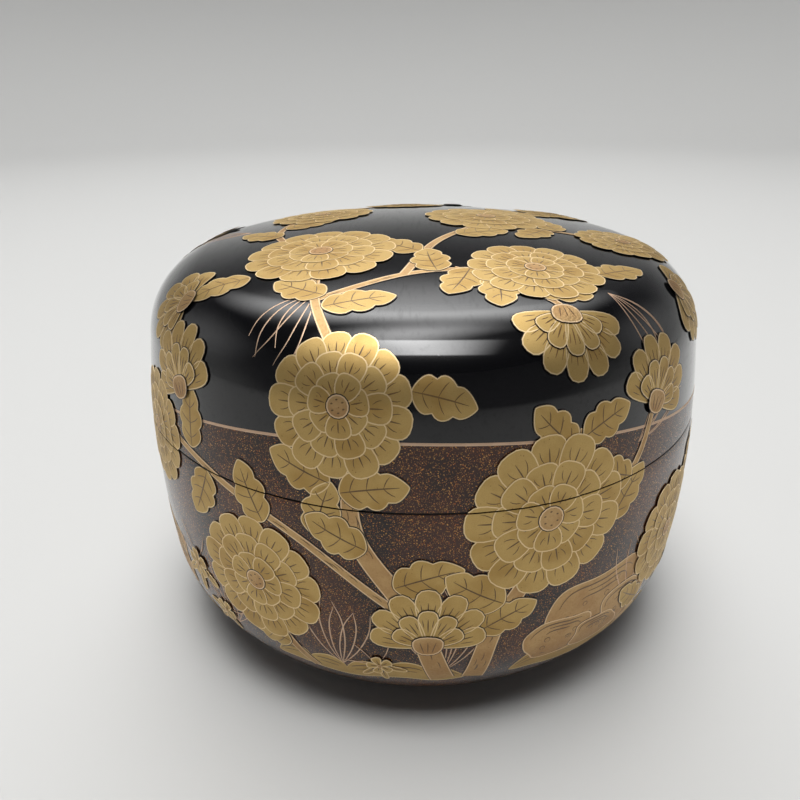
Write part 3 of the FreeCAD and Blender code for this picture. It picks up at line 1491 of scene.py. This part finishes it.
@dataclass(frozen=True)
class FanFlower(Flower):
    """Flower seen from the side: petals fan out above a red-gold cup."""

    lines: ClassVar[Rows] = ((0.0, 0.42, 0.78, 0.17), (0.22, 0.55, 0.76, 0.11), (-0.22, 0.55, 0.76, 0.11))
    waist: ClassVar[float] = 0.15
    sides: ClassVar[int] = 20
    fans: ClassVar[Rows] = ((7, 1.0, 76.0), (5, 0.66, 60.0))
    cup_drop: ClassVar[float] = 0.14
    cup_size: ClassVar[Point] = (0.34, 0.44)
    cup_waist: ClassVar[float] = 0.75
    cup_lines: ClassVar[tuple[float, ...]] = (-0.11, 0.0, 0.11)

    def draw(self, gold: GoldDesign) -> None:
        """Draw the back fan, the front fan and the cup.

        Args:
            gold: the design to draw in.
        """
        radius = self.radius
        for index, (count, share, spread) in enumerate(self.fans):
            self.fan(gold, self.spot.moved(rise=index), count, radius * share, spread)
        cup = self.spot.moved(up=-radius * self.cup_drop, rise=len(self.fans))
        length, width = self.cup_size
        gold.backed(cup, PetalForm(radius * length, radius * width, self.cup_waist), Tone.RED, 16, 0.22)
        for side in self.cup_lines:
            gold.stroke(cup, [(side * radius * 0.5, radius * 0.05), (side * radius, radius * 0.24)], 0.13)

    def fan(self, gold: GoldDesign, spot: Spot, count: int, radius: float, spread: float) -> None:
        """Draw one fan of petals, the outermost first, each over a dark gap.

        Args:
            gold: the design to draw in.
            spot: the fan's foot.
            count: number of petals.
            radius: length of the middle petal.
            spread: turn of the outermost petals, in degrees.
        """
        for place in sorted(range(count), key=lambda index: -abs(index - (count - 1) / 2)):
            turn = spread * (2 * place / (count - 1) - 1)
            reach = radius * (1 - 0.2 * (turn / spread) ** 2)
            width = 2 * radius * math.radians(spread) / (count - 1)
            petal = spot.moved(turn=turn)
            gold.backed(petal, PetalForm(reach, width, self.waist), Tone.BRIGHT, self.sides, self.rim)
            for aside, foot, tip, line in self.lines:
                gold.stroke(petal, [(aside * width * 0.7, reach * foot), (aside * width, reach * tip)], line)


@dataclass(frozen=True)
class Leaf(Motif):
    """Lobed leaf with engraved veins."""

    rank: ClassVar[float] = 0.9
    orders: ClassVar[int] = 3
    width_share: ClassVar[float] = 0.66
    bend_share: ClassVar[float] = 0.1
    vein_shares: ClassVar[tuple[float, ...]] = (0.16, 0.40, 0.64)
    spot: Spot
    length: float

    def draw(self, gold: GoldDesign) -> None:
        """Draw the leaf over a dark gap, and its veins.

        Args:
            gold: the design to draw in.
        """
        length, width, bend = self.length, self.length * self.width_share, self.length * self.bend_share
        gold.backed(self.spot, LeafForm(length, width, bend), Tone.BRIGHT, 60, 0.17)
        middle = [(bend * share ** 2, length * share) for share in (0.02, 0.3, 0.6, 0.86)]
        gold.stroke(self.spot, middle, 0.18)
        for share in self.vein_shares:
            foot = bend * share ** 2
            for side in (1, -1):
                reach = side * width * 0.36 * math.sin(math.pi * (share + 0.14))
                vein = [(foot, length * share), (foot + reach * 0.6, length * (share + 0.06)),
                        (foot + reach, length * (share + 0.13))]
                gold.stroke(self.spot, vein, 0.13)


@dataclass(frozen=True)
class Stone(Motif):
    """Garden stone of overlapping lobes, with engraved folds and rings of moss."""

    lobes: ClassVar[Rows] = ((0.02, 0.08, 0.86, 0.92), (-0.30, -0.16, 0.52, 0.58),
                             (0.30, -0.12, 0.50, 0.66), (0.04, -0.26, 0.44, 0.40))
    lobe_rise: ClassVar[float] = 0.12
    folds: ClassVar[Rows] = ((0.82, 2.3, 4.4), (0.66, 2.0, 3.5), (0.50, 2.5, 3.9))
    moss_rings: ClassVar[int] = 5
    spot: Spot
    width: float
    height: float
    phase: float

    def draw(self, gold: GoldDesign) -> None:
        """Draw the lobes from the back to the front, each with its folds and its moss.

        Args:
            gold: the design to draw in.
        """
        for index, (across, up, wide, high) in enumerate(self.lobes):
            form = StoneForm(self.width * wide, self.height * high, self.phase + index)
            lobe = self.spot.moved(across * self.width, up * self.height, rise=index * self.lobe_rise)
            gold.backed(lobe, form, Tone.RED, 48, 0.22)
            for scale, start, end in self.folds:
                fold = [form(start + (end - start) * step / 8) for step in range(9)]
                gold.stroke(lobe, [(x * scale, y * scale) for x, y in fold], 0.2, step=0.5)
            for _ in range(self.moss_rings):
                x, y = form(gold.dice.uniform(1.0, 5.3))
                reach = gold.dice.uniform(0.25, 0.6)
                moss = DiscForm(gold.dice.uniform(0.3, 0.5))
                ring = [moss(math.pi - 3.0 * step / 4) for step in range(-4, 5)]
                gold.stroke(lobe.moved(x * reach, y * reach), ring, 0.10, step=0.2)


@dataclass(frozen=True)
class Sprig(Motif):
    """Small five-petalled flower with narrow leaves and hairlines."""

    rank: ClassVar[float] = 0.9
    orders: ClassVar[int] = 3
    spot: Spot
    size: float = 1.0

    def draw(self, gold: GoldDesign) -> None:
        """Draw leaves, hairlines, petals and eye.

        Args:
            gold: the design to draw in.
        """
        base = self.spot.moved(size=self.size)
        for turn in (118, -124, 172):
            leaf = base.moved(turn=turn)
            gold.shape(leaf, PetalForm(4.8, 1.4, 0.75), Tone.BRIGHT, 18, 0.2)
            gold.stroke(leaf, [(0, 1.2), (0, 4.0)], 0.15)
        for turn in (24, -36, 70):
            gold.stroke(base.moved(turn=turn), [(0, 2.0), (0.25, 4.0), (0.1, 6.4)], 0.13, Tone.HAIR)
        flower = base.moved(rise=1)
        gold.shape(flower, DiscForm(2.2, 5, 0.2), Tone.GAP, 20)
        for index in range(5):
            petal = flower.moved(turn=72 * index)
            gold.shape(petal, PetalForm(2.4, 2.2, 0.25), Tone.BRIGHT, 18, 0.2)
            gold.stroke(petal, [(0, 0.6), (0, 1.6)], 0.13)
        gold.shape(flower.moved(rise=1), DiscForm(0.45), Tone.RED, 10, 0.12)


@dataclass(frozen=True)
class Stem(Motif):
    """Red-gold stem through chart points."""

    rank: ClassVar[float] = 0.45
    gap: ClassVar[float] = 0.2
    edge: ClassVar[float] = 0.2
    chart: Chart
    points: tuple[Point, ...]
    start: float
    end: float

    def draw(self, gold: GoldDesign) -> None:
        """Draw the stem over a dark gap, and short strokes of bark along it.

        Args:
            gold: the design to draw in.
        """
        gold.line(self.chart, self.points, tapered(self.start + self.gap, self.end + self.gap), Tone.GAP)
        gold.line(self.chart, self.points, tapered(self.start, self.end), Tone.RED, edge=self.edge)
        track = Track(self.points)
        for _ in range(int(track.length * self.start / 4)):
            share = gold.dice.uniform(0.05, 0.9)
            middle = track.at(share) + track.aside(share) * self.start * gold.dice.uniform(-0.25, 0.25)
            way = track.at(share + 0.02) - track.at(share - 0.02)
            bark = Spot(self.chart, middle.x, middle.y, math.degrees(math.atan2(way.y, way.x)) - 90)
            gold.stroke(bark, [(0.0, -0.7), (0.12, 0.0), (0.0, 0.7)], 0.12)


@dataclass(frozen=True)
class GrassTuft(Motif):
    """Tuft of fine arching gold hairlines."""

    spot: Spot
    length: float
    blades: int
    spread: float

    def draw(self, gold: GoldDesign) -> None:
        """Draw each blade as a line that arches over.

        Args:
            gold: the design to draw in.
        """
        for index in range(self.blades):
            turn = self.spread * (index / (self.blades - 1) - 0.5) + gold.dice.uniform(-4, 4)
            reach = self.length * gold.dice.uniform(0.75, 1.0)
            sag = math.copysign(reach * 0.22, -turn)
            blade = [(0, 0), (0, reach * 0.4), (-sag * 0.35, reach * 0.75), (-sag, reach)]
            gold.stroke(self.spot.moved(turn=turn), blade, 0.17, Tone.HAIR)


@dataclass(frozen=True)
class Bank(Motif):
    """Low scalloped bank along the foot."""

    spans: ClassVar[int] = 7
    engraving: ClassVar[Rows] = ((0.66, 0.2), (0.36, 0.15))
    x_start: float
    x_end: float
    y: float
    height: float
    lobes: int

    def top(self, share: float) -> float:
        """Height of the scallops above the middle line."""
        ends = min(1.0, 8 * share, 8 * (1 - share)) ** 0.5
        return self.height * (0.45 + 0.55 * abs(math.sin(math.pi * self.lobes * share)) ** 0.6) * ends

    def foot(self, share: float) -> float:
        """Depth below the middle line."""
        return self.height * 0.30 * min(1.0, 6 * share, 6 * (1 - share)) ** 0.5

    def draw(self, gold: GoldDesign) -> None:
        """Draw the bank's scalloped top over its even foot, and two engraved arcs in each scallop.

        Args:
            gold: the design to draw in.
        """
        length = self.x_end - self.x_start
        track = Track([(self.x_start + length * index / self.spans, self.y + 0.5 * math.sin(index * 1.7))
                       for index in range(self.spans + 1)])
        gold.strip(Chart.SIDE, track, self.top, self.foot, Tone.BRIGHT, step=0.35, edge=0.2)
        for index in range(self.lobes):
            for inside, width in self.engraving:
                shares = [(index + 0.5 + reach * 0.42 * inside ** 0.5) / self.lobes
                          for reach in (-1, -0.6, 0, 0.6, 1)]
                arc = [track.at(share) + track.aside(share) * self.top(share) * inside for share in shares]
                gold.line(Chart.SIDE, [tuple(point) for point in arc], pointed(width), Tone.STROKE)


@dataclass(frozen=True)
class GoldLine(Motif):
    """Fine gold line round the lid, between the black and the sprinkled ground, in two low waves."""

    orders: ClassVar[int] = 1
    level: float = 41.5
    swing: float = 2.7
    waves: int = 2
    turned: float = math.radians(3.0)
    width: float = 0.34
    steps: int = 120

    def height(self, turn: float) -> float:
        """Height of the line at a turn from the front."""
        return self.level + self.swing * math.cos(self.waves * (turn + self.turned))

    def draw(self, gold: GoldDesign) -> None:
        """Draw the line round the whole lid.

        Args:
            gold: the design to draw in.
        """
        outline = gold.outline
        turns = [FULL_TURN * (step / self.steps - 0.5) for step in range(self.steps + 1)]
        points = [(turn * outline.outer_radius, outline.seam_along - outline.side_along(self.height(turn)))
                  for turn in turns]
        gold.line(Chart.SIDE, points, even(self.width), Tone.HAIR)


def laid(kind: type[Motif], chart: Chart, *rows: Sequence[float]) -> list[Motif]:
    """List motifs of one kind in one chart.

    Args:
        kind: what they are.
        chart: the side, with x to the right of the front and y above the seam, or the top, with x to the
            right of the crown's middle and y behind it.
        rows: x, y, turn and sizes of each motif.

    Returns:
        The motifs.
    """
    return [kind(Spot(chart, x, y, turn), *sizes) for x, y, turn, *sizes in rows]


def stems(chart: Chart, *rows: tuple[tuple[Point, ...], float, float]) -> list[Motif]:
    """List stems in one chart, from rows of their points, start and end."""
    return [Stem(chart, *row) for row in rows]


def front_and_top() -> list[Motif]:
    """List the motifs that the front and the top show, from the lowest up, as the gold worker lays them.

    Returns:
        The motifs.
    """
    side, top = Chart.SIDE, Chart.TOP
    return [
        Bank(-20, 6, -25.5, 3.0, 5), Bank(12, 40, -26.0, 3.2, 5), Bank(-58, -32, -26.5, 2.6, 5),
        *laid(Stone, side, (24, -19.5, 0, 19, 13, 0.8), (-46, -20, 0, 15, 11, 2.2)),
        *stems(side, (((7, -26), (9, -17), (13, -9), (15, -2)), 3.0, 1.4),
               (((3, -26), (-1, -14), (-7, -4), (-8, 4), (-9, 11)), 3.2, 1.4),
               (((16, 4), (18, 6), (19, 8)), 1.1, 0.9), (((-14, -26), (-18, -20), (-21, -13)), 1.3, 1.0),
               (((-2, -14), (-14, -5), (-27, 0), (-38, 3)), 1.2, 0.8),
               (((12, -11), (22, -4), (28, 2), (31, 8)), 1.2, 0.9),
               (((30, -26), (35, -20), (38, -14)), 1.2, 0.9)),
        *stems(top, (((-9, -38), (-12, -28), (-13, -14)), 1.2, 1.0),
               (((-12, -28), (-2, -22), (6, -20), (14, -19)), 1.1, 0.8),
               (((-2, -22), (2, -10), (8, 0), (10, 6)), 1.2, 0.9),
               (((-13, -14), (-20, -4), (-20, 6), (-16, 13)), 1.1, 0.9),
               (((4, -20), (11, -24), (17, -30)), 1.1, 0.8), (((8, 0), (18, 0), (29, -2)), 1.0, 0.8),
               (((-20, 6), (-12, 20), (-2, 27)), 1.0, 0.8), (((10, 6), (16, 14), (22, 22)), 1.0, 0.8)),
        *laid(GrassTuft, side, (3, -24, 0, 15, 9, 80), (-10, -24, 0, 12, 7, 70), (32, -22, 0, 13, 7, 80),
              (-27, -24, 0, 12, 7, 90), (28, 4, -60, 12, 6, 50)),
        *laid(GrassTuft, top, (-12, -26, 150, 12, 6, 60), (22, -24, -120, 12, 6, 50),
              (-26, 4, 80, 10, 6, 60)),
        *laid(Leaf, side, (10, -13, 62, 8.5), (7, -17, -58, 8.0), (-3, -10, -66, 8.5), (-6, -5, 70, 8.0),
              (-12, -4, -10, 7.5), (-19, -4, 30, 8.0), (-17, -22, 80, 7.0), (24, -5, -35, 8.0),
              (27, 0, 70, 7.0), (-28, 0, 160, 8.0), (-31, 2, 5, 8.0), (34, -22, 60, 6.5), (-9, 2, -75, 8.0),
              (-10, 3, 75, 8.0), (45, -8, -30, 8.0)),
        *laid(Leaf, top, (-11, -30, -70, 8.5), (-11, -27, 60, 8.0), (2, -21, 15, 8.0), (6, -20, 165, 8.0),
              (0, -14, 55, 8.5), (5, -6, -60, 8.0), (-20, -3, 60, 8.0), (-20, 2, -50, 8.0),
              (18, 0, 150, 7.5), (20, 0, 20, 8.0), (-12, 20, 70, 7.5), (-8, 23, -60, 7.0),
              (16, 14, -60, 7.5), (16, 15, 50, 7.0), (22, -19, -50, 7.5), (9, -22, -175, 8.0),
              (13, -26, -80, 7.0)),
        *laid(Leaf, side, (19, 7, -65, 7.5), (18, 6, 50, 7.5), (-1, 14, -100, 7.5)),
        *laid(Leaf, top, (-21, -20, 110, 8.0)),
        *laid(Sprig, side, (-34, -17, 10), (-29, -22.5, -30, 0.8), (-5, -23, 20, 0.75), (46, -23, 0, 0.9)),
        *laid(FanFlower, side, (1, -19, 0, 9.0), (31, 8, -25, 8.5), (-33, 9, 22, 8.5)),
        *laid(FanFlower, top, (-29, -22, 60, 8.0), (33, -16, -80, 8.0), (-31, 12, 80, 7.5),
              (16, -30, -165, 8.5), (6, 32, 0, 7.5)),
        *laid(Chrysanthemum, side, (15, -2, 4, 10.4), (-21, -13, 0, 9.4), (-9, 12, 9, 8.6),
              (39, -13, 0, 8.6), (-42, 1, 0, 8.0)),
        *laid(Chrysanthemum, top, (-13, -13, 0, 10.2), (14, -19, 5, 8.6), (10, 7, 0, 9.6),
              (-16, 13, 0, 8.4), (29, -2, 0, 7.0), (-3, 27, 0, 7.2), (23, 22, 0, 7.0)),
    ]


def far_side() -> list[Motif]:
    """List the sparser motifs on the far side.

    Returns:
        The motifs, from the lowest up.
    """
    side = Chart.SIDE
    return [
        Bank(66, 92, -26, 2.8, 5), Bank(-116, -92, -26, 2.8, 5), Bank(-88, -66, -26.5, 2.6, 4),
        *stems(side, (((78, -26), (82, -18), (84, -10), (92, 0), (103, 6)), 1.5, 0.9),
               (((-84, -26), (-80, -16), (-78, -8), (-74, 4), (-72, 12)), 1.5, 0.9),
               (((-104, -26), (-108, -20), (-112, -12)), 1.3, 0.9)),
        *laid(Leaf, side, (82, -18, 60, 8.0), (83, -12, -60, 8.0), (90, -2, 50, 8.0), (96, 3, -70, 7.5),
              (-80, -16, 60, 8.0), (-76, -2, -60, 8.0), (-76, 0, 70, 7.5), (-107, -22, -60, 7.0)),
        *laid(GrassTuft, side, (74, -24, 0, 13, 7, 80), (-98, -24, 0, 12, 7, 80)),
        *laid(FanFlower, side, (-72, 13, 10, 8.0), (-112, -13, -10, 8.5)),
        *laid(Chrysanthemum, side, (84, -9, 0, 9.0), (104, 8, 0, 8.2), (-79, -9, 0, 8.2)),
        *laid(Sprig, side, (110, -20, 15), (122, -16, -20, 0.8)),
    ]


def design_finishes() -> dict[Tone, bpy.types.Material]:
    """Make the finishes of the design.

    Returns:
        The material of each tone.
    """
    finishes = {
        Tone.BRIGHT: GoldPowder(name="bright_gold", body=rgb(0.505, 0.35, 0.135),
                                shaded=rgb(0.415, 0.268, 0.092), pale=rgb(0.76, 0.60, 0.36)),
        Tone.RED: GoldPowder(name="red_gold", body=rgb(0.50, 0.33, 0.155), shaded=rgb(0.41, 0.245, 0.11),
                             pale=rgb(0.74, 0.56, 0.36), grain_size=0.3, grain_relief=0.05),
        Tone.HAIR: GoldPowder(name="hairline_gold", body=rgb(0.62, 0.44, 0.31),
                              shaded=rgb(0.52, 0.34, 0.23), pale=rgb(0.62, 0.44, 0.31)),
        Tone.GAP: BareLacquer(name="gap_lacquer", dark=rgb(0.006, 0.004, 0.003),
                              light=rgb(0.018, 0.009, 0.006)),
        Tone.STROKE: BareLacquer(name="stroke_lacquer", dark=rgb(0.085, 0.045, 0.016),
                                 light=rgb(0.16, 0.090, 0.034)),
    }
    return {tone: finish.build() for tone, finish in finishes.items()}


# Studio

@dataclass(frozen=True)
class Lamp:
    """Soft rectangular lamp that faces the caddy, its place and size in metres and its power in watts."""

    name: str
    place: tuple[float, float, float]
    size: Point
    power: float
    fade: Point = (1.0, 1.0)
    aim: ClassVar[Vector] = Vector((0.0, 0.0, 0.03))

    def build(self) -> None:
        """Make the lamp, whose glow fades out over a share of its half width and half depth."""
        data = bpy.data.lights.new(self.name, "AREA")
        data.shape = "RECTANGLE"
        data.size, data.size_y = self.size
        data.energy = self.power
        graph = Graph(data)
        sides = graph.parts(graph.add("NewGeometry", output="Parametric"))
        across, along = [graph.rise((side - 0.5).math("ABSOLUTE"), 0.5, 0.5 - share / 2)
                         for side, share in zip(sides, self.fade)]
        glow = graph.add("Emission", None, {"Strength": across * along})
        graph.add("OutputLight", None, {"Surface": glow})
        lamp = link(self.name, data)
        lamp.location = self.place
        lamp.rotation_euler = (self.aim - lamp.location).to_track_quat("-Z", "Y").to_euler()


@dataclass(frozen=True)
class Studio:
    """Plain pale floor with a round backdrop, soft lamps, and the camera at the photograph's place."""

    clear_radius: float = 120.0
    floor_radius: float = 700.0
    sweep_radius: float = 350.0
    wall_height: float = 900.0
    stage_steps: int = 96
    sky: Colour = rgb(0.90, 0.95, 1.0)
    sky_strength: float = 0.015
    camera_distance: float = 105.7
    camera_height: float = 80.4
    camera_pitch: float = 25.245
    camera_yaw: float = -1.786
    camera_roll: float = -0.584
    lens: float = 32.4
    lamps: tuple[Lamp, ...] = (
        Lamp("window", (0.0, -0.25, 0.88), (0.80, 0.36), 12.5, (1.0, 0.25)),
        Lamp("ceiling", (-0.05, 0.05, 0.95), (1.0, 0.6), 15.0),
        Lamp("back", (-0.05, 0.60, 0.85), (1.6, 0.9), 24.0),
        Lamp("left_fill", (-0.80, 0.10, 0.40), (0.9, 0.7), 1.2),
        Lamp("right_fill", (0.80, 0.20, 0.40), (0.9, 0.7), 0.8),
    )

    def build_stage(self) -> None:
        """Make the floor and its backdrop in one sweep."""
        wall = self.floor_radius + self.sweep_radius
        sweep = Arc(Vector((self.floor_radius, self.sweep_radius)), self.sweep_radius, math.pi, QUARTER_TURN)
        floor = [Vector((0.0, 0.0)), Vector((self.clear_radius, 0.0))]
        section = floor + sweep.points(steps=12) + [Vector((wall, self.wall_height))]
        make_object(turned(section, self.stage_steps), "stage", StagePaper().build())

    def build_world(self) -> None:
        """Make the faint light from all round."""
        world = bpy.data.worlds.new("studio")
        bpy.context.scene.world = world
        graph = Graph(world)
        glow = graph.add("Background", None, {"Color": self.sky, "Strength": self.sky_strength})
        graph.add("OutputWorld", None, {"Surface": glow})

    def build_camera(self) -> None:
        """Place the camera as the photograph was taken."""
        pitch, yaw = math.radians(self.camera_pitch), math.radians(self.camera_yaw)
        level = math.cos(pitch)
        forward = Vector((math.sin(yaw) * level, math.cos(yaw) * level, -math.sin(pitch)))
        right = Vector((math.cos(yaw), -math.sin(yaw), 0.0))
        axes = Matrix((right, right.cross(forward), -forward)).transposed()
        turn = axes.to_4x4() @ Matrix.Rotation(math.radians(self.camera_roll), 4, "Z")
        data = bpy.data.cameras.new("camera")
        data.lens = self.lens
        data.clip_start = 0.005
        camera = link("camera", data)
        place = Vector((0.0, -self.camera_distance, self.camera_height)) * METRES_PER_MM
        camera.matrix_world = Matrix.Translation(place) @ turn
        bpy.context.scene.camera = camera
        bpy.context.scene.view_settings.view_transform = "Standard"

    def build(self) -> None:
        """Make the whole studio."""
        self.build_stage()
        self.build_world()
        for lamp in self.lamps:
            lamp.build()
        self.build_camera()


def dress_cores() -> None:
    """Give the hidden wood and ground coats their finishes."""
    finishes = {"wood_core": TurnedWood().build(), "priming": Priming().build()}
    for name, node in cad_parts.items():
        for ending, material in finishes.items():
            if name.endswith(ending):
                node.material_slots[0].material = material
                log.info("%s: %s", name, material.name)


def main() -> None:
    """Build the caddy's looks in order."""
    logging.basicConfig(level=logging.INFO, format="%(name)s: %(message)s")
    outline = Outline()
    sprinkled = Sprinkled(seam_level=outline.seam_height)
    # The inside has no painted shade at the seam.
    inside = Sprinkled(name="sprinkled_inside", seam_level=outline.seam_height, seam_shade_share=0.0)
    line = GoldLine()
    lid = LidLacquer(line=line, sprinkled=sprinkled)
    LacquerCoats(outline).build(sprinkled.build(), inside.build(), lid.build())
    dress_cores()
    gold = GoldDesign(outline)
    gold.draw([line, *front_and_top(), *far_side()])
    gold.finish(design_finishes())
    Studio().build()


if __name__ == "__main__":
    main()
